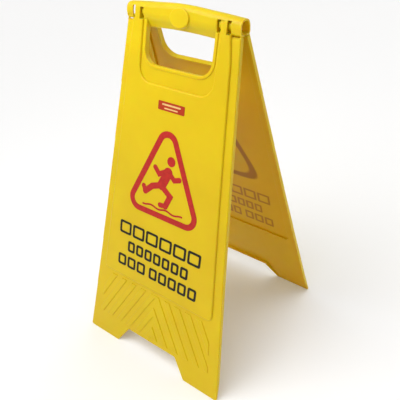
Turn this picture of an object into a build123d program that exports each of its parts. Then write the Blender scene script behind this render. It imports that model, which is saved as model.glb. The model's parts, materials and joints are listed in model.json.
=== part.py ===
from build123d import *
import os
from math import cos, radians, sin, tan

# Free-standing floor sign: two thin-wall polypropylene halves, joined along the top by two snap-in
# pins, that stand as an A-frame and fold flat. +Z is up, the front face looks along -Y and the hinge
# line runs along X. The origin is on the floor, under the hinge. Lengths in mm, angles in degrees.

# Stance
lean = 15.1              # each panel leans this far from upright when open
apex_height = 577.4      # floor to the line where the two rim planes meet
slant = 600.0            # from that line down a panel to its feet
hinge_drop = 4.0         # hinge axis below the apex line
stop_gap = 0.15          # from each half's stop face to the middle plane

# Panel moulding
wall = 2.2
rim_depth = 7.3          # rim edge to the border's outer face
field_rise = 3.0         # print field above the border
half_width_top = 102.7   # at the top of the border
half_width_foot = 152.0
waist = 2.0              # how far the sides bow inwards halfway down
border_top = 17.5        # drops down the panel from the apex line
neck_top = 14.5
neck_half = 83.0         # the strip between the posts, which joins the panel to the bar
post_top = 2.0
post_half = 86.0
shoulder = 50.0          # where the posts meet the field's long bowed sides
shoulder_margin = 11.9   # border beside the field, there and at the field's foot
foot_margin = 16.2
field_foot = 455.5
field_corner = 9.0
relief_top = 566.0       # the rim is cut back from here down to the floor
relief_depth = 4.5
foot_corner = 4.0
notch_height = 36.7
notch_half_top = 55.5
notch_half_foot = 79.3
rim_round = 1.5          # moulded edge radii
field_round = 2.5
lip_round = 1.0

# Hand hole
hole_half = 62.3
hole_foot = 77.5
hole_radius = 22.0
recess_half = 69.5
recess_foot = 104.5
recess_radius = 23.0
lip_width = 5.0
lip_rise = 1.4

# Chevron ribs above the feet
rib_pitch = 20.2
rib_width = 10.1
rib_rise = 1.2
rib_round = 0.9
rib_angle = 30.5         # from the panel's centre line
rib_count = 7
rib_head = 463.0
rib_foot = 554.0
rib_side_margin = 20.0
lowest_rib = 538.0       # drop of the lowest chevron's peak

# Carrying grip and hinge barrels; heights are from the apex line
bar_depth = rim_depth + field_rise + hinge_drop * sin(radians(lean))  # flush with the print field
bar_end = half_width_top
bar_wall = 2.3
bar_shoulder = -2.5      # the leaning face above meets the upright flank
crest_mid = 14.2         # the bar's top at the middle
crest_fall = 6.8         # and how much lower it is at the ends
crest_power = 1.4
top_round = 8.6
grip_flank = -9.0        # where the grip's flank turns in towards its underside
grip_belly_half = 5.5
grip_belly = -22.5       # the grip's underside at the middle
grip_belly_fall = 2.8    # and how much lower it is at the posts
barrel_flank = -11.5
barrel_belly_half = 8.0
barrel_belly = -14.6
shoulder_round = 12.0
grip_flank_round = 18.0
barrel_flank_round = 4.0
belly_round = 3.0
grip_ribs = (-31.0, 0.0, 31.0)
grip_rib = 1.6
window_radius = 1.1
hole_reach = 30.0        # how far the hand hole's cut runs past the panel
pad_radii = (17.1, 13.7)
pad_face = 12.6          # flat round pad, measured out from the rim plane
pad_round = 1.2
pad_drop = 5.0
web_top = 7.0            # plates that join the barrels to the panel, drops down the panel
web_foot = 25.0
web_root = 3.5           # how far out of the rim plane they start
webs = ((-bar_end, -bar_end + wall), (-92.6, -86.5), (bar_end - wall, bar_end))

# Hinge pins and knuckles; the ranges are along X, for the front half
pin_radius = 3.0
pin_head_radius = 4.4
pin_head = 1.5
pin_head_round = 0.6
pin_tip = 1.5
pin_taper = 0.5
pin_head_x = 85.5
pin_tip_x = 65.5
bore_radius = 3.06
bore_inner = 64.8
bore_outer = 89.5
knuckle_radius = 7.8
knuckles = ((-85.2, -76.5), (-69.0, -64.9), (69.6, 75.2))

# Moulding windows through the barrels' fronts and shallow dips at their ends: X range, then height
# range from the apex line
windows = (
    ((-90.8, -85.6), (-12.5, 5.3)),
    ((-76.3, -68.9), (-12.5, 4.3)),
    ((63.6, 71.2), (-12.8, 4.6)),
    ((63.6, 76.0), (1.4, 4.6)),
    ((80.5, 87.3), (-13.0, 5.0)),
)
end_dips = (
    ((-100.4, -92.6), (-16.8, -7.0)),
    ((88.6, 100.4), (-16.8, -12.5)),
)
window_depth = bar_depth - 1.0
dip_depth = 0.9

# Printed graphics, each a thin layer on the field; a minus marks a drop used as a Y in a sketch
ink = 0.3
badge_size = (51.2, 13.8)
badge_drop = 132.5
badge_stripes = ((36.0, 2.6, 130.0), (26.0, 2.0, 135.6))
triangle_top = 169.0
triangle_foot = 316.6
triangle_half = 49.0     # from the middle to a lower corner's centre
triangle_radius = 21.5
triangle_band = 10.2
figure_head = (10.0, -215.0)
figure_head_radius = 8.0
figure_limbs = (
    (17.0, (6.0, -234.0), (-5.0, -258.0)),
    (8.6, (6.0, -232.0), (19.0, -243.0), (29.0, -239.5)),
    (8.6, (4.0, -232.0), (-12.0, -241.0), (-21.0, -232.0)),
    (10.4, (-5.0, -258.0), (-24.0, -265.0), (-38.0, -278.0)),
    (8.6, (-38.0, -278.0), (-42.0, -270.0)),
    (10.4, (-4.0, -260.0), (14.0, -272.0), (6.0, -291.0)),
    (8.6, (6.0, -291.0), (-5.0, -292.0)),
)
ripple_line = -299.5
ripple_height = 1.5
ripple_pace = 5.0
ripple_width = 3.0
ripple_x = [3.0 * step for step in range(-14, 15)]
text_rows = (
    ("text_row_upper", 359.0, 24.0, ((-88.5, 87.5, 6),)),
    ("text_row_middle", 391.8, 20.5, ((-67.5, 65.5, 7),)),
    ("text_row_lower", 422.6, 21.5, ((-88.5, -25.0, 3), (-15.5, 86.5, 5))),
)
text_gap = 3.6
text_stroke = 4.2
text_radius = 3.6

os.makedirs("parts", exist_ok=True)
hinge_height = apex_height - hinge_drop
rim_axis = Axis((0, 0, apex_height), (0, -cos(radians(lean)), sin(radians(lean))))
rim_plane = Plane(
    origin=(0, 0, apex_height),
    x_dir=(1, 0, 0),
    z_dir=(0, -cos(radians(lean)), sin(radians(lean))),
)
border_plane = rim_plane.offset(rim_depth)
field_plane = rim_plane.offset(rim_depth + field_rise)


def side_view(drop, out):
    """Y and Z of a point on the front half: its drop down the panel, and how far out of the rim plane."""
    across = -drop * sin(radians(lean)) - out * cos(radians(lean))
    return (across, apex_height - drop * cos(radians(lean)) + out * sin(radians(lean)))


def half_width(drop):
    """Half the panel's width at a distance down from the apex line."""
    t = (drop - border_top) / (slant - border_top)
    straight = half_width_top + (half_width_foot - half_width_top) * t
    return straight - 4.0 * waist * t * (1.0 - t)


def side_bow(start, end, margin_start, margin_end, side):
    """One long side as an arc between two drops, a margin in from the panel's edge."""
    middle = (start + end) / 2
    margin_middle = (margin_start + margin_end) / 2
    return ThreePointArc(
        (side * (half_width(start) - margin_start), -start),
        (side * (half_width(middle) - margin_middle), -middle),
        (side * (half_width(end) - margin_end), -end),
    )


def panel_outline(plane, inset):
    """The whole panel face-on: two feet, a trapezoid notch, bowed sides and a neck at the top."""
    foot = slant - inset
    notch = slant - notch_height - inset
    neck = (neck_top + inset, border_top + 2 * wall)
    with BuildSketch(plane) as outline:
        with BuildLine():
            right = side_bow(border_top + inset, foot, inset, inset, 1)
            left = side_bow(border_top + inset, foot, inset, inset, -1)
            Line(left @ 0, right @ 0)
            Polyline(
                right @ 1,
                (notch_half_foot + inset, -foot),
                (notch_half_top + inset, -notch),
                (-notch_half_top - inset, -notch),
                (-notch_half_foot - inset, -foot),
                left @ 1,
            )
        make_face()
        fillet(outline.vertices().group_by(Axis.Y)[0], foot_corner)
        with Locations((0, -sum(neck) / 2)):
            Rectangle(2 * (neck_half - inset), neck[1] - neck[0])
    return outline.sketch


def round_footed(plane, half, top, foot, radius):
    """A rectangle between two drops, with rounded lower corners."""
    with BuildSketch(plane) as outline:
        with Locations((0, -(top + foot) / 2)):
            Rectangle(2 * half, foot - top)
        fillet(outline.vertices().group_by(Axis.Y)[0], radius)
    return outline.sketch


def hole_outline(plane, top, grow):
    """The hand hole, from a given drop downwards, grown outwards by grow."""
    return round_footed(plane, hole_half + grow, top, hole_foot + grow, hole_radius + grow)


def field_outline(plane, top, inset):
    """The raised print field, which runs up the posts on both sides of the recess."""
    foot = field_foot - inset
    with BuildSketch(plane) as outline:
        with BuildLine():
            right = side_bow(shoulder, foot, shoulder_margin + inset, foot_margin + inset, 1)
            left = side_bow(shoulder, foot, shoulder_margin + inset, foot_margin + inset, -1)
            Line(left @ 1, right @ 1)
            Polyline(
                left @ 0,
                (inset - post_half, -top),
                (post_half - inset, -top),
                right @ 0,
            )
        make_face()
        fillet(outline.vertices().group_by(Axis.Y)[0], field_corner - inset)
        recess = (recess_half + inset, top - wall, recess_foot + inset, recess_radius + inset)
        add(round_footed(Plane.XY, *recess), mode=Mode.SUBTRACT)
    return outline.sketch


def rib_outline(plane):
    """Nested chevron ribs: parallel arms that run down and out from the centre line."""
    along = sin(radians(rib_angle))
    across = cos(radians(rib_angle))
    low, high = rib_head - 40.0, rib_foot + 40.0
    with BuildSketch(plane) as outline:
        for index in range(rib_count):
            offset = rib_pitch * index - lowest_rib * along
            inner = offset - rib_width / 2
            outer = offset + rib_width / 2
            Polygon(
                ((inner + low * along) / across, -low),
                ((outer + low * along) / across, -low),
                ((outer + high * along) / across, -high),
                ((inner + high * along) / across, -high),
                align=None,
            )
        Polygon(
            (0, -rib_head),
            (half_width(rib_head) - rib_side_margin, -rib_head),
            (half_width(rib_foot) - rib_side_margin, -rib_foot),
            (0, -rib_foot),
            align=None,
            mode=Mode.INTERSECT,
        )
        mirror(about=Plane.YZ)
    return outline.sketch


def crest(x):
    """The bar's top line, a shallow crown."""
    return crest_mid - crest_fall * (abs(x) / bar_end) ** crest_power


def leaning_face(height):
    """Y of the bar's leaning front face, in the plane of the print field."""
    return -(rim_depth + field_rise - height * sin(radians(lean))) / cos(radians(lean))


def bar_section(x, flank, flank_round, belly_half, belly, inset):
    """The bar's rounded cross-section, moved in by inset. Heights are from the apex line."""
    front = (
        (0.0, crest(x)),
        (leaning_face(crest(x)), crest(x)),
        (-bar_depth, bar_shoulder),
        (-bar_depth, flank),
        (-belly_half, belly),
        (0.0, belly),
    )
    points = [(y, apex_height + z) for y, z in front]
    with BuildSketch(Plane.YZ.offset(x)) as section:
        with BuildLine():
            FilletPolyline(*points, radius=(top_round, shoulder_round, flank_round, belly_round))
            mirror(about=Plane.YZ)
        make_face()
        if inset > 0:
            offset(amount=-inset, kind=Kind.INTERSECTION)
    return section.sketch


def grip_section(x, inset):
    """The grip's section between the posts: egg-shaped, with an underside arched for the fingers."""
    belly = grip_belly - grip_belly_fall * (x / hole_half) ** 2
    return bar_section(x, grip_flank, grip_flank_round, grip_belly_half, belly, inset)


def barrel_section(x, inset):
    """The section of the bar's ends, which cover the hinges."""
    return bar_section(x, barrel_flank, barrel_flank_round, barrel_belly_half, barrel_belly, inset)


def grip_solid(half_length, inset):
    """The carrying grip between the posts, lofted through five sections."""
    with BuildPart() as solid:
        for step in (-1.0, -0.5, 0.0, 0.5, 1.0):
            add(grip_section(half_length * step, inset))
        loft()
    return solid.part


def barrel_solid(start, end, inset):
    """One end of the bar, lofted through three sections."""
    with BuildPart() as solid:
        for x in (start, (start + end) / 2, end):
            add(barrel_section(x, inset))
        loft()
    return solid.part


def barrel_hollows():
    """The room for the hinges inside both barrels, open at the bar's ends."""
    with BuildPart() as hollows:
        add(barrel_solid(hole_half + bar_wall, bar_end + 1.0, bar_wall))
        add(barrel_solid(-bar_end - 1.0, -hole_half - bar_wall, bar_wall))
    return hollows.part


def swing_wedge():
    """The space that a half leaves free for the other: behind the stop face and the rim plane."""
    reach = 60.0
    slope = reach * tan(radians(lean))
    with BuildPart() as wedge:
        with BuildSketch(Plane.YZ):
            Polygon(
                (-stop_gap, hinge_height + reach),
                (reach, hinge_height + reach),
                (reach, hinge_height - reach),
                (-stop_gap - slope, hinge_height - reach),
                (-stop_gap, hinge_height),
                align=None,
            )
        extrude(amount=bar_end + 2.0, both=True)
    return wedge.part


def bar_shell():
    """The bar of one half: grip and two barrels, hollow from behind."""
    with BuildPart() as bar:
        add(grip_solid(hole_half, 0.0))
        add(barrel_solid(hole_half, bar_end, 0.0))
        add(barrel_solid(-bar_end, -hole_half, 0.0))
        add(grip_solid(hole_half - bar_wall, bar_wall), mode=Mode.SUBTRACT)
        add(barrel_hollows(), mode=Mode.SUBTRACT)
        for x in grip_ribs:
            extrude(grip_section(x - grip_rib / 2, bar_wall / 2), amount=grip_rib)
        add(swing_wedge(), mode=Mode.SUBTRACT)
    return bar.part


def grip_pad():
    """The flat round pad on the middle of the grip, parallel to the panel."""
    with BuildPart() as pad:
        with BuildSketch(rim_plane.offset(bar_wall)):
            with Locations((0, -pad_drop)):
                Ellipse(*pad_radii)
        extrude(amount=pad_face - bar_wall)
        fillet(pad.faces().sort_by(rim_axis)[-1].edges(), pad_round)
        add(grip_solid(hole_half - bar_wall, bar_wall), mode=Mode.SUBTRACT)
        add(swing_wedge(), mode=Mode.SUBTRACT)
    return pad.part


def rounded_block(outline, depth, radius):
    """An outline raised to a depth, with the edges of its outer face rounded."""
    with BuildPart() as block:
        extrude(outline, amount=depth)
        fillet(block.faces().group_by(rim_axis)[-1].edges(), radius)
    return block.part


def hole_lip():
    """The raised, rounded lip around the hand hole."""
    skin_plane = rim_plane.offset(rim_depth - wall)
    with BuildSketch(skin_plane) as ring:
        add(hole_outline(Plane.XY, neck_top, lip_width))
        add(hole_outline(Plane.XY, neck_top - wall, 0.0), mode=Mode.SUBTRACT)
    return rounded_block(ring.sketch, wall + lip_rise, lip_round)


def foot_relief():
    """The wedge behind the feet where the rim is cut back."""
    with BuildPart() as relief:
        with BuildSketch(Plane.YZ):
            Polygon(
                side_view(relief_top, 0.0),
                side_view(slant, relief_depth),
                side_view(slant + rim_depth, relief_depth),
                side_view(slant + rim_depth, -rim_depth),
                side_view(relief_top, -rim_depth),
                align=None,
            )
        extrude(amount=half_width_foot + 1.0, both=True)
    return relief.part


def panel_shell():
    """The panel of one half, hollow from behind, with its hand hole."""
    skin = rim_depth - wall
    with BuildPart() as panel:
        add(rounded_block(panel_outline(rim_plane, 0.0), rim_depth, rim_round))
        add(rounded_block(field_outline(rim_plane, post_top, 0.0), rim_depth + field_rise, field_round))
        ribs = rib_outline(border_plane.offset(-wall / 2))
        add(rounded_block(ribs, wall / 2 + rib_rise, rib_round))
        extrude(panel_outline(rim_plane, wall), amount=skin, mode=Mode.SUBTRACT)
        field_pocket = field_outline(rim_plane, post_top - wall, wall)
        extrude(field_pocket, amount=skin + field_rise, mode=Mode.SUBTRACT)
        extrude(hole_outline(rim_plane, neck_top, wall), amount=skin + wall / 2)
        add(hole_lip())
        hole = hole_outline(rim_plane.offset(-hole_reach), -hole_reach, 0.0)
        extrude(hole, amount=3 * hole_reach, mode=Mode.SUBTRACT)
        add(foot_relief(), mode=Mode.SUBTRACT)
    return panel.part


def web_plates():
    """The upright plates that join the barrels' ends to the panel."""
    with BuildPart() as plates:
        for left, right in webs:
            with BuildSketch(rim_plane.offset(web_root)):
                with Locations(((left + right) / 2, -(web_top + web_foot) / 2)):
                    Rectangle(right - left, web_foot - web_top)
            extrude(amount=rim_depth - rim_round - web_root)
    return plates.part


def floor_block():
    """Everything under the floor, which trims the feet level."""
    with BuildPart() as block:
        Box(500, 500, 50, align=(Align.CENTER, Align.CENTER, Align.MAX))
    return block.part


def window(x_range, z_range, depth):
    """A round-cornered cut of a given depth into the upright front of a barrel."""
    (left, right), (foot, top) = x_range, z_range
    with BuildPart() as cut:
        with Locations(((left + right) / 2, -bar_depth, apex_height + (foot + top) / 2)):
            Box(right - left, 2 * depth, top - foot)
        fillet(cut.edges().filter_by(Axis.Y), window_radius)
    return cut.part


def knuckle(x_range):
    """A hinge eye and the web that carries it, on the front half."""
    start, end = x_range
    with BuildPart() as eye:
        extrude(barrel_section(start, bar_wall / 2), amount=end - start)
        add(swing_wedge(), mode=Mode.SUBTRACT)
        with BuildSketch(Plane.YZ.offset(start)):
            with Locations((0, hinge_height)):
                Circle(knuckle_radius)
        extrude(amount=end - start)
    return eye.part


def pin_bore(start, end):
    """The bore for one hinge pin."""
    with BuildPart() as bore:
        with BuildSketch(Plane.YZ.offset(start)):
            with Locations((0, hinge_height)):
                Circle(bore_radius)
        extrude(amount=end - start)
    return bore.part


def hinge_pin(head_x, tip_x):
    """A snap-in pin with a round head on its left end, a plain shank and a tapered tip."""
    with BuildPart() as pin:
        with BuildSketch(Plane.YZ.offset(head_x)):
            with Locations((0, hinge_height)):
                Circle(pin_radius)
        extrude(amount=tip_x - head_x)
        chamfer(pin.faces().sort_by(Axis.X)[-1].edges(), pin_tip, pin_taper)
        with BuildSketch(Plane.YZ.offset(head_x)):
            with Locations((0, hinge_height)):
                Circle(pin_head_radius)
        extrude(amount=-pin_head)
        fillet(pin.faces().sort_by(Axis.X)[0].edges(), pin_head_round)
    return pin.part


def badge():
    """A plain stuck-on label above the warning triangle."""
    with BuildPart() as label:
        with BuildSketch(field_plane):
            with Locations((0, -badge_drop)):
                RectangleRounded(*badge_size, 1.5)
        extrude(amount=ink)
    return label.part


def badge_lines():
    """Two plain light stripes printed on the label, in place of any mark."""
    with BuildPart() as stripes:
        with BuildSketch(field_plane.offset(ink)):
            for length, height, drop in badge_stripes:
                with Locations((0, -drop)):
                    RectangleRounded(length, height, 0.45 * height)
        extrude(amount=ink / 2)
    return stripes.part


def triangle_outline(radius):
    """A triangle with round corners, drawn about its three corner centres."""
    foot = triangle_foot - triangle_radius
    with BuildSketch() as outline:
        Polygon(
            (0, -triangle_top - triangle_radius),
            (triangle_half, -foot),
            (-triangle_half, -foot),
            align=None,
        )
        offset(amount=radius, kind=Kind.ARC)
    return outline.sketch


def warning_triangle():
    """The red warning triangle's printed band."""
    with BuildPart() as triangle:
        with BuildSketch(field_plane):
            add(triangle_outline(triangle_radius))
            add(triangle_outline(triangle_radius - triangle_band), mode=Mode.SUBTRACT)
        extrude(amount=ink)
    return triangle.part


def slip_figure():
    """A plain figure that loses its footing over a ripple of water."""
    with BuildPart() as figure:
        with BuildSketch(field_plane):
            with Locations(figure_head):
                Circle(figure_head_radius)
            for width, *joints in figure_limbs:
                with BuildLine() as limb:
                    Polyline(*joints)
                trace(limb.line, width)
                with Locations(*joints):
                    Circle(width / 2)
            with BuildLine() as ripple:
                Spline(*[(x, ripple_line + ripple_height * sin(x / ripple_pace)) for x in ripple_x])
            trace(ripple.line, ripple_width)
        extrude(amount=ink)
    return figure.part


def text_row(drop, height, words):
    """One row of plain open frames that stands where a line of print goes."""
    with BuildPart() as row:
        with BuildSketch(field_plane):
            for start, end, count in words:
                pitch = (end - start + text_gap) / count
                width = pitch - text_gap
                middles = [(start + width / 2 + pitch * index, -drop) for index in range(count)]
                with Locations(*middles):
                    RectangleRounded(width, height, text_radius)
                    hollow = (width - 2 * text_stroke, height - 2 * text_stroke)
                    RectangleRounded(*hollow, text_radius / 2, mode=Mode.SUBTRACT)
        extrude(amount=ink)
    return row.part


# Front half: the fork of the left hinge and the tongue of the right one
with BuildPart() as front_panel:
    add(panel_shell())
    add(web_plates())
    add(barrel_hollows(), mode=Mode.SUBTRACT)
    add(bar_shell())
    add(grip_pad())
    for x_range, z_range in windows:
        add(window(x_range, z_range, window_depth), mode=Mode.SUBTRACT)
    for x_range, z_range in end_dips:
        add(window(x_range, z_range, dip_depth), mode=Mode.SUBTRACT)
    for x_range in knuckles:
        add(knuckle(x_range))
    add(pin_bore(-bore_outer, -bore_inner), mode=Mode.SUBTRACT)
    add(pin_bore(bore_inner, bore_outer), mode=Mode.SUBTRACT)
    add(floor_block(), mode=Mode.SUBTRACT)
front_panel.part.label = "front_panel"
export_step(front_panel.part, "parts/front_panel.step")

# Rear half: the same moulding turned about, which brings its tongue to the left and its fork right
with BuildPart() as rear_panel:
    add(front_panel.part, rotation=(0, 0, 180))
rear_panel.part.label = "rear_panel"
export_step(rear_panel.part, "parts/rear_panel.step")

# Left hinge pin, pushed in from the outside through the front half's fork
with BuildPart() as left_hinge_pin:
    add(hinge_pin(-pin_head_x, -pin_tip_x))
left_hinge_pin.part.label = "left_hinge_pin"
export_step(left_hinge_pin.part, "parts/left_hinge_pin.step")

# Right hinge pin, the same in the rear half's fork
with BuildPart() as right_hinge_pin:
    add(left_hinge_pin.part, rotation=(0, 0, 180))
right_hinge_pin.part.label = "right_hinge_pin"
export_step(right_hinge_pin.part, "parts/right_hinge_pin.step")

# The print on both faces, one node for each layer or label
graphics = {
    "badge_label": badge(),
    "badge_stripes": badge_lines(),
    "warning_triangle": warning_triangle(),
    "slip_figure": slip_figure(),
}
for row_name, drop, height, words in text_rows:
    graphics[row_name] = text_row(drop, height, words)
for face, turn in (("front", 0), ("rear", 180)):
    for layer, shape in graphics.items():
        with BuildPart() as print_layer:
            add(shape, rotation=(0, 0, turn))
        print_layer.part.label = f"{face}_{layer}"
        export_step(print_layer.part, f"parts/{face}_{layer}.step")
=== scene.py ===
import json
from math import cos, hypot, pi, radians

import bpy
from mathutils import Matrix, Vector

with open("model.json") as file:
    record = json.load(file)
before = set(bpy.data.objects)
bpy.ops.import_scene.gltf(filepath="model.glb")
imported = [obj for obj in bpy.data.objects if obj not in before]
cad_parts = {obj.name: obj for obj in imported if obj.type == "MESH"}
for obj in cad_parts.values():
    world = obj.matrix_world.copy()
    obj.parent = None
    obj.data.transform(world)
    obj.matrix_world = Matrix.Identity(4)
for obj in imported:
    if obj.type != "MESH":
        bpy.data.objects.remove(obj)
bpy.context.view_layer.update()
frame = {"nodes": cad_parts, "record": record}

# Camera: where it stands, in metres, how it is turned, in degrees, and its lens, in mm
CAMERA_AT = (0.4881, -0.5831, 0.7822)
CAMERA_YAW = -39.45
CAMERA_PITCH = -34.50
CAMERA_ROLL = -3.32
CAMERA_LENS = 47.46
CAMERA_SENSOR = 36.0
CAMERA_REACH = 50.0

# Light: an even pale surround, a broad key from the front left, a broad weak light from behind and
# a soft box close above the grip
SKY = 0.37
KEY_FROM = (-0.60, -0.90, 1.60)
KEY_POWER = 1.45
KEY_SPREAD = 80.0
BACK_FROM = (0.3, 1.0, 0.9)
BACK_POWER = 1.05
BACK_SPREAD = 70.0
BOX_AT = (-0.16, -0.36, 0.95)
BOX_AIM = (0.0, -0.02, 0.56)
BOX_SIZE = 0.40
BOX_POWER = 2.3
WHITE = (1.0, 1.0, 1.0)
WARM_WHITE = (1.0, 0.98, 0.95)

# Floor
FLOOR_HALF = 8.0
FLOOR_SHADE = 0.98
FLOOR_ROUGHNESS = 0.9

# Painted shadow of the outer face's print, as light shining through the thin wall would show it, and
# painted shade, on the hollow
# side. In metres: drops down the panel from its apex line, and distances to the right of its centre
# line, seen from inside
LEAN = radians(15.1)
SKIN_TOP = 0.5795        # height at which the inner skin's plane reaches drop 0
HOLLOW_FROM = -0.02      # Y times the normal's Y, where the hollow side begins
HOLLOW_FULL = -0.03
TRIANGLE_HEAD = 0.1905   # drop of the upper corner's centre
TRIANGLE_FOOT = 0.2951   # drop of the lower corners' centres
TRIANGLE_HALF = 0.049    # from the middle to a lower corner's centre
TRIANGLE_BAND = (0.0113, 0.0215)
TRIANGLE_BLEND = 0.055   # rounds the corners
ROWS = (                 # drop, height, start, end and count of each row of frames
    (0.3590, 0.0240, -0.0875, 0.0885, 6),
    (0.3918, 0.0205, -0.0655, 0.0675, 7),
    (0.4226, 0.0215, 0.0250, 0.0885, 3),
    (0.4226, 0.0215, -0.0865, 0.0155, 5),
)
ROW_GAP = 0.0036
ROW_STROKE = 0.0042
SOFT = 0.0015            # half the blur of its edges
PRINT_SHADOW_STRENGTH = 0.8
PRINT_SHADOW_COLOUR = (0.34, 0.115, 0.012)
# Painted shade over the whole hollow side: darker and more orange, standing in for shade inside the
# frame and light coming through the wall
HOLLOW_PAINTED_SHADE_AMOUNT = 0.35
HOLLOW_PAINTED_SHADE_COLOUR = (0.62, 0.34, 0.012)

# Plastic: noise scales in features per metre, depths and radii in metres
CLOUD_SCALE = 14.0
SCUFF_AND_HIGHLIGHT_SCALE = 420.0
SCUFF_AND_HIGHLIGHT_MOST = 0.55
GRAIN_SCALE = 2600.0
GRAIN_DEPTH = 0.00008
SMEAR_SCALE = 60.0
SINK_SCALE = 26.0
SINK_DEPTH = 0.0004
EDGE_RADIUS = 0.0007
EDGE_SAMPLES = 6
EDGE_FROM = 0.97         # cosine between the rounded and the true normal, where wear and painted edge highlight begin
EDGE_FULL = 0.75
SUBSURFACE_RADIUS = (1.0, 0.38, 0.03)
SUBSURFACE_SCALE = 0.006
PLASTIC_SPECULAR = 0.2
COAT_WEIGHT = 0.04
COAT_ROUGHNESS = 0.22

# Ink
MOTTLE_SCALE = 160.0
MOTTLE_SHADE = 0.82
PINHOLE_SCALE = 1500.0
PINHOLE_MOST = 0.7
SHEEN_SCALE = 90.0
TOOTH_SCALE = 2200.0
TOOTH_DEPTH = 0.00006
INK_SPECULAR = 0.25


def place_camera():
    """The camera at the viewing angle, turned by yaw, then pitch, then roll."""
    data = bpy.data.cameras.new("camera")
    data.lens = CAMERA_LENS
    data.sensor_width = CAMERA_SENSOR
    data.clip_end = CAMERA_REACH
    camera = bpy.data.objects.new("camera", data)
    bpy.context.scene.collection.objects.link(camera)
    turn = (
        Matrix.Rotation(radians(-CAMERA_YAW), 4, "Z")
        @ Matrix.Rotation(pi / 2 + radians(CAMERA_PITCH), 4, "X")
        @ Matrix.Rotation(radians(CAMERA_ROLL), 4, "Z")
    )
    camera.matrix_world = Matrix.Translation(CAMERA_AT) @ turn
    bpy.context.scene.camera = camera


def add_light(name, kind, power, towards):
    """A light that shines from a direction. Returns the light and its data."""
    data = bpy.data.lights.new(name, kind)
    data.energy = power
    light = bpy.data.objects.new(name, data)
    bpy.context.scene.collection.objects.link(light)
    light.rotation_euler = Vector(towards).to_track_quat("Z", "Y").to_euler()
    return light, data


def broad_light(name, start, power, spread, colour):
    """A wide, soft light from far away that shines from start towards the origin."""
    data = add_light(name, "SUN", power, start)[1]
    data.angle = radians(spread)
    data.color = colour


def soft_box(name, at, aim, size, power):
    """A square soft box aimed at a point."""
    light, data = add_light(name, "AREA", power, Vector(at) - Vector(aim))
    light.location = at
    data.shape = "SQUARE"
    data.size = size


def light_scene():
    """Soft studio light."""
    world = bpy.data.worlds.new("studio")
    world.use_nodes = True
    background = world.node_tree.nodes["Background"]
    background.inputs["Color"].default_value = (*WHITE, 1.0)
    background.inputs["Strength"].default_value = SKY
    bpy.context.scene.world = world
    bpy.context.scene.view_settings.view_transform = "Standard"
    broad_light("key", KEY_FROM, KEY_POWER, KEY_SPREAD, WHITE)
    broad_light("back", BACK_FROM, BACK_POWER, BACK_SPREAD, WARM_WHITE)
    soft_box("box", BOX_AT, BOX_AIM, BOX_SIZE, BOX_POWER)


def make_floor():
    """A plain pale floor."""
    mesh = bpy.data.meshes.new("floor")
    corners = [(FLOOR_HALF * x, FLOOR_HALF * y, 0) for x, y in ((-1, -1), (1, -1), (1, 1), (-1, 1))]
    mesh.from_pydata(corners, [], [(0, 1, 2, 3)])
    floor = bpy.data.objects.new("floor", mesh)
    bpy.context.scene.collection.objects.link(floor)
    material = bpy.data.materials.new("pale_floor")
    material.use_nodes = True
    shader = material.node_tree.nodes["Principled BSDF"]
    shader.inputs["Base Color"].default_value = (FLOOR_SHADE, FLOOR_SHADE, FLOOR_SHADE, 1.0)
    shader.inputs["Roughness"].default_value = FLOOR_ROUGHNESS
    mesh.materials.append(material)


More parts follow.
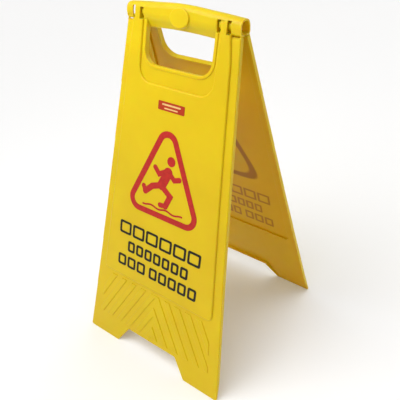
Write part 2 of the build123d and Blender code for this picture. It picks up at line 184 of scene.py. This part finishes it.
class Finish:
    """A material under construction: its nodes, its shader and a few shorthands."""

    def __init__(self, name):
        self.material = bpy.data.materials.new(name)
        self.material.use_nodes = True
        self.tree = self.material.node_tree
        self.shader = self.tree.nodes["Principled BSDF"]
        coordinates = self.tree.nodes.new("ShaderNodeTexCoord")
        self.place = coordinates.outputs["Object"]
        self.normal = coordinates.outputs["Normal"]

    def link(self, output, socket):
        self.tree.links.new(output, socket)

    def noise(self, scale, detail=3.0, roughness=0.5):
        """Noise over the object's own metres. The scale is in features per metre."""
        node = self.tree.nodes.new("ShaderNodeTexNoise")
        node.inputs["Scale"].default_value = scale
        node.inputs["Detail"].default_value = detail
        node.inputs["Roughness"].default_value = roughness
        self.link(self.place, node.inputs["Vector"])
        return node.outputs["Fac"]

    def remap(self, value, low, high, to_low, to_high):
        """Stretches low..high to to_low..to_high, and holds it there outside."""
        node = self.tree.nodes.new("ShaderNodeMapRange")
        for socket, number in zip(node.inputs[1:5], (low, high, to_low, to_high)):
            socket.default_value = number
        self.link(value, node.inputs["Value"])
        return node.outputs["Result"]

    def above(self, value, limit):
        """1 over a limit in metres and 0 under it, with a soft edge."""
        return self.remap(value, limit - SOFT, limit + SOFT, 0.0, 1.0)

    def below(self, value, limit):
        """1 under a limit in metres and 0 over it, with a soft edge."""
        return self.remap(value, limit - SOFT, limit + SOFT, 1.0, 0.0)

    def math(self, operation, first, second, third=0.0):
        """One operation on an output, with an output or a number beside it."""
        node = self.tree.nodes.new("ShaderNodeMath")
        node.operation = operation
        self.link(first, node.inputs[0])
        if isinstance(second, float):
            node.inputs[1].default_value = second
        else:
            self.link(second, node.inputs[1])
        node.inputs[2].default_value = third
        return node.outputs["Value"]

    def distance(self, value, centre):
        """How far an output is from a number."""
        return self.math("ABSOLUTE", self.math("SUBTRACT", value, centre), 0.0)

    def axis(self, vector, name):
        """One component of a vector output."""
        node = self.tree.nodes.new("ShaderNodeSeparateXYZ")
        self.link(vector, node.inputs["Vector"])
        return node.outputs[name]

    def blend(self, factor, first, second):
        """A colour mixed towards another by an output. Either may be a colour or an output."""
        node = self.tree.nodes.new("ShaderNodeMix")
        node.data_type = "RGBA"
        self.link(factor, node.inputs[0])
        for index, colour in ((6, first), (7, second)):
            if isinstance(colour, tuple):
                node.inputs[index].default_value = (*colour, 1.0)
            else:
                self.link(colour, node.inputs[index])
        return node.outputs[2]

    def bump(self, height, strength, distance, normal=None):
        """A bump of a given depth in metres, on top of another normal."""
        node = self.tree.nodes.new("ShaderNodeBump")
        node.inputs["Strength"].default_value = strength
        node.inputs["Distance"].default_value = distance
        self.link(height, node.inputs["Height"])
        if normal is not None:
            self.link(normal, node.inputs["Normal"])
        return node.outputs["Normal"]

    def rounded(self, radius):
        """The normal with edges rounded to a radius in metres."""
        node = self.tree.nodes.new("ShaderNodeBevel")
        node.samples = EDGE_SAMPLES
        node.inputs["Radius"].default_value = radius
        return node.outputs["Normal"]

    def edges(self, rounded):
        """How sharp the edge is here: 0 on flat ground, towards 1 at an edge."""
        true_normal = self.tree.nodes.new("ShaderNodeNewGeometry").outputs["True Normal"]
        node = self.tree.nodes.new("ShaderNodeVectorMath")
        node.operation = "DOT_PRODUCT"
        self.link(rounded, node.inputs[0])
        self.link(true_normal, node.inputs[1])
        return self.remap(node.outputs["Value"], EDGE_FROM, EDGE_FULL, 0.0, 1.0)


def triangle_band(finish, across, drop):
    """1 on the warning triangle's band, 0 off it."""
    height = TRIANGLE_FOOT - TRIANGLE_HEAD
    side_length = hypot(TRIANGLE_HALF, height)
    out = finish.math("MULTIPLY", finish.distance(across, 0.0), height / side_length)
    down = finish.math("SUBTRACT", drop, TRIANGLE_HEAD)
    side = finish.math("SUBTRACT", out, finish.math("MULTIPLY", down, TRIANGLE_HALF / side_length))
    foot = finish.math("SUBTRACT", drop, TRIANGLE_FOOT)
    reach = finish.math("SMOOTH_MAX", side, foot, TRIANGLE_BLEND)
    inner, outer = TRIANGLE_BAND
    return finish.math("MULTIPLY", finish.above(reach, inner), finish.below(reach, outer))


def row_frames(finish, across, drop, row):
    """1 on the strokes of one row of open frames, 0 off them."""
    middle, height, start, end, count = row
    pitch = (end - start + ROW_GAP) / count
    cell = finish.math("PINGPONG", finish.math("SUBTRACT", across, start - ROW_GAP / 2), pitch / 2)
    away = finish.distance(drop, middle)
    off = finish.distance(across, (start + end) / 2)
    block = finish.math("MULTIPLY", finish.above(cell, ROW_GAP / 2), finish.below(away, height / 2))
    block = finish.math("MULTIPLY", block, finish.below(off, (end - start) / 2))
    upright = finish.below(cell, ROW_GAP / 2 + ROW_STROKE)
    level = finish.above(away, height / 2 - ROW_STROKE)
    return finish.math("MULTIPLY", block, finish.math("MAXIMUM", upright, level))


def hollow_side(finish):
    """1 on the skin of a panel's hollow side, 0 elsewhere."""
    turned = finish.math("MULTIPLY", finish.axis(finish.place, "Y"), finish.axis(finish.normal, "Y"))
    return finish.remap(turned, HOLLOW_FULL, HOLLOW_FROM, 1.0, 0.0)


def print_behind(finish):
    """1 where the outer face is printed behind this point of the skin, 0 elsewhere."""
    half_sign = finish.math("SIGN", finish.axis(finish.place, "Y"), 0.0)
    across = finish.math("MULTIPLY", finish.axis(finish.place, "X"), half_sign)
    fall = finish.math("SUBTRACT", finish.axis(finish.place, "Z"), SKIN_TOP)
    drop = finish.math("MULTIPLY", fall, -1.0 / cos(LEAN))
    mask = triangle_band(finish, across, drop)
    for row in ROWS:
        mask = finish.math("MAXIMUM", mask, row_frames(finish, across, drop, row))
    return mask


def moulded_plastic(name, colour, deep, pale, roughness, subsurface):
    """Polypropylene: soft gloss, fine moulded grain, cloudy colour, scuffed edges that also carry a
    painted highlight, and painted shade and a painted print shadow on the hollow side.
    """
    finish = Finish(name)
    shader = finish.shader
    cloud = finish.remap(finish.noise(CLOUD_SCALE, 4.0), 0.32, 0.68, 0.0, 1.0)
    colour = finish.blend(cloud, deep, colour)
    rounded = finish.rounded(EDGE_RADIUS)
    # pale edges: partly scuffed wear, partly a painted highlight along the edges
    scuff_and_highlight = finish.remap(finish.noise(SCUFF_AND_HIGHLIGHT_SCALE, 5.0, 0.65), 0.42, 0.62, 0.0, SCUFF_AND_HIGHLIGHT_MOST)
    colour = finish.blend(finish.math("MULTIPLY", finish.edges(rounded), scuff_and_highlight), colour, pale)
    # painted shade on the hollow side
    hollow = hollow_side(finish)
    colour = finish.blend(finish.math("MULTIPLY", hollow, HOLLOW_PAINTED_SHADE_AMOUNT), colour, HOLLOW_PAINTED_SHADE_COLOUR)
    # painted shadow of the outer print, where its ink would block light shining through the wall
    painted_print_shadow = finish.math("MULTIPLY", print_behind(finish), hollow)
    colour = finish.blend(finish.math("MULTIPLY", painted_print_shadow, PRINT_SHADOW_STRENGTH), colour, PRINT_SHADOW_COLOUR)
    finish.link(colour, shader.inputs["Base Color"])
    smear = finish.noise(SMEAR_SCALE, 4.0, 0.6)
    smear = finish.remap(smear, 0.3, 0.7, roughness - 0.06, roughness + 0.08)
    finish.link(smear, shader.inputs["Roughness"])
    waved = finish.bump(finish.noise(SINK_SCALE, 1.0), 0.5, SINK_DEPTH, rounded)
    grained = finish.bump(finish.noise(GRAIN_SCALE, 2.0), 0.18, GRAIN_DEPTH, waved)
    finish.link(grained, shader.inputs["Normal"])
    shader.inputs["Subsurface Weight"].default_value = subsurface
    shader.inputs["Subsurface Radius"].default_value = SUBSURFACE_RADIUS
    shader.inputs["Subsurface Scale"].default_value = SUBSURFACE_SCALE
    shader.inputs["Specular IOR Level"].default_value = PLASTIC_SPECULAR
    shader.inputs["Coat Weight"].default_value = COAT_WEIGHT
    shader.inputs["Coat Roughness"].default_value = COAT_ROUGHNESS
    return finish.material


def printed_ink(name, colour, worn, roughness):
    """Screen-printed ink: even colour with faint mottling, pinholes and a fine tooth."""
    finish = Finish(name)
    shader = finish.shader
    mottle = finish.remap(finish.noise(MOTTLE_SCALE, 4.0), 0.35, 0.65, 0.0, 1.0)
    pinhole = finish.remap(finish.noise(PINHOLE_SCALE, 2.0), 0.70, 0.76, 0.0, PINHOLE_MOST)
    shaded = finish.blend(mottle, tuple(MOTTLE_SHADE * channel for channel in colour), colour)
    finish.link(finish.blend(pinhole, shaded, worn), shader.inputs["Base Color"])
    sheen = finish.remap(finish.noise(SHEEN_SCALE), 0.3, 0.7, roughness - 0.05, roughness + 0.1)
    finish.link(sheen, shader.inputs["Roughness"])
    finish.link(finish.bump(finish.noise(TOOTH_SCALE, 2.0), 0.25, TOOTH_DEPTH), shader.inputs["Normal"])
    shader.inputs["Specular IOR Level"].default_value = INK_SPECULAR
    return finish.material


place_camera()
light_scene()
make_floor()
slots = {
    "yellow_plastic": moulded_plastic(
        "yellow_plastic",
        colour=(0.69, 0.515, 0.003),
        deep=(0.645, 0.47, 0.003),
        pale=(0.80, 0.69, 0.11),
        roughness=0.36,
        subsurface=0.6,
    ),
    "pin_plastic": moulded_plastic(
        "pin_plastic",
        colour=(0.78, 0.50, 0.008),
        deep=(0.72, 0.45, 0.007),
        pale=(0.86, 0.70, 0.16),
        roughness=0.38,
        subsurface=0.2,
    ),
    "badge_vinyl": printed_ink("badge_vinyl", (0.45, 0.035, 0.006), (0.62, 0.22, 0.03), 0.35),
    "light_ink": printed_ink("light_ink", (0.80, 0.52, 0.20), (0.50, 0.06, 0.02), 0.5),
    "red_ink": printed_ink("red_ink", (0.50, 0.018, 0.012), (0.68, 0.25, 0.02), 0.45),
    "black_ink": printed_ink("black_ink", (0.014, 0.008, 0.004), (0.25, 0.15, 0.01), 0.45),
}
for part in frame["record"]["subparts"]:
    node = frame["nodes"][part["node"]]
    node.data.materials.clear()
    node.data.materials.append(slots[part["material_slot"]])
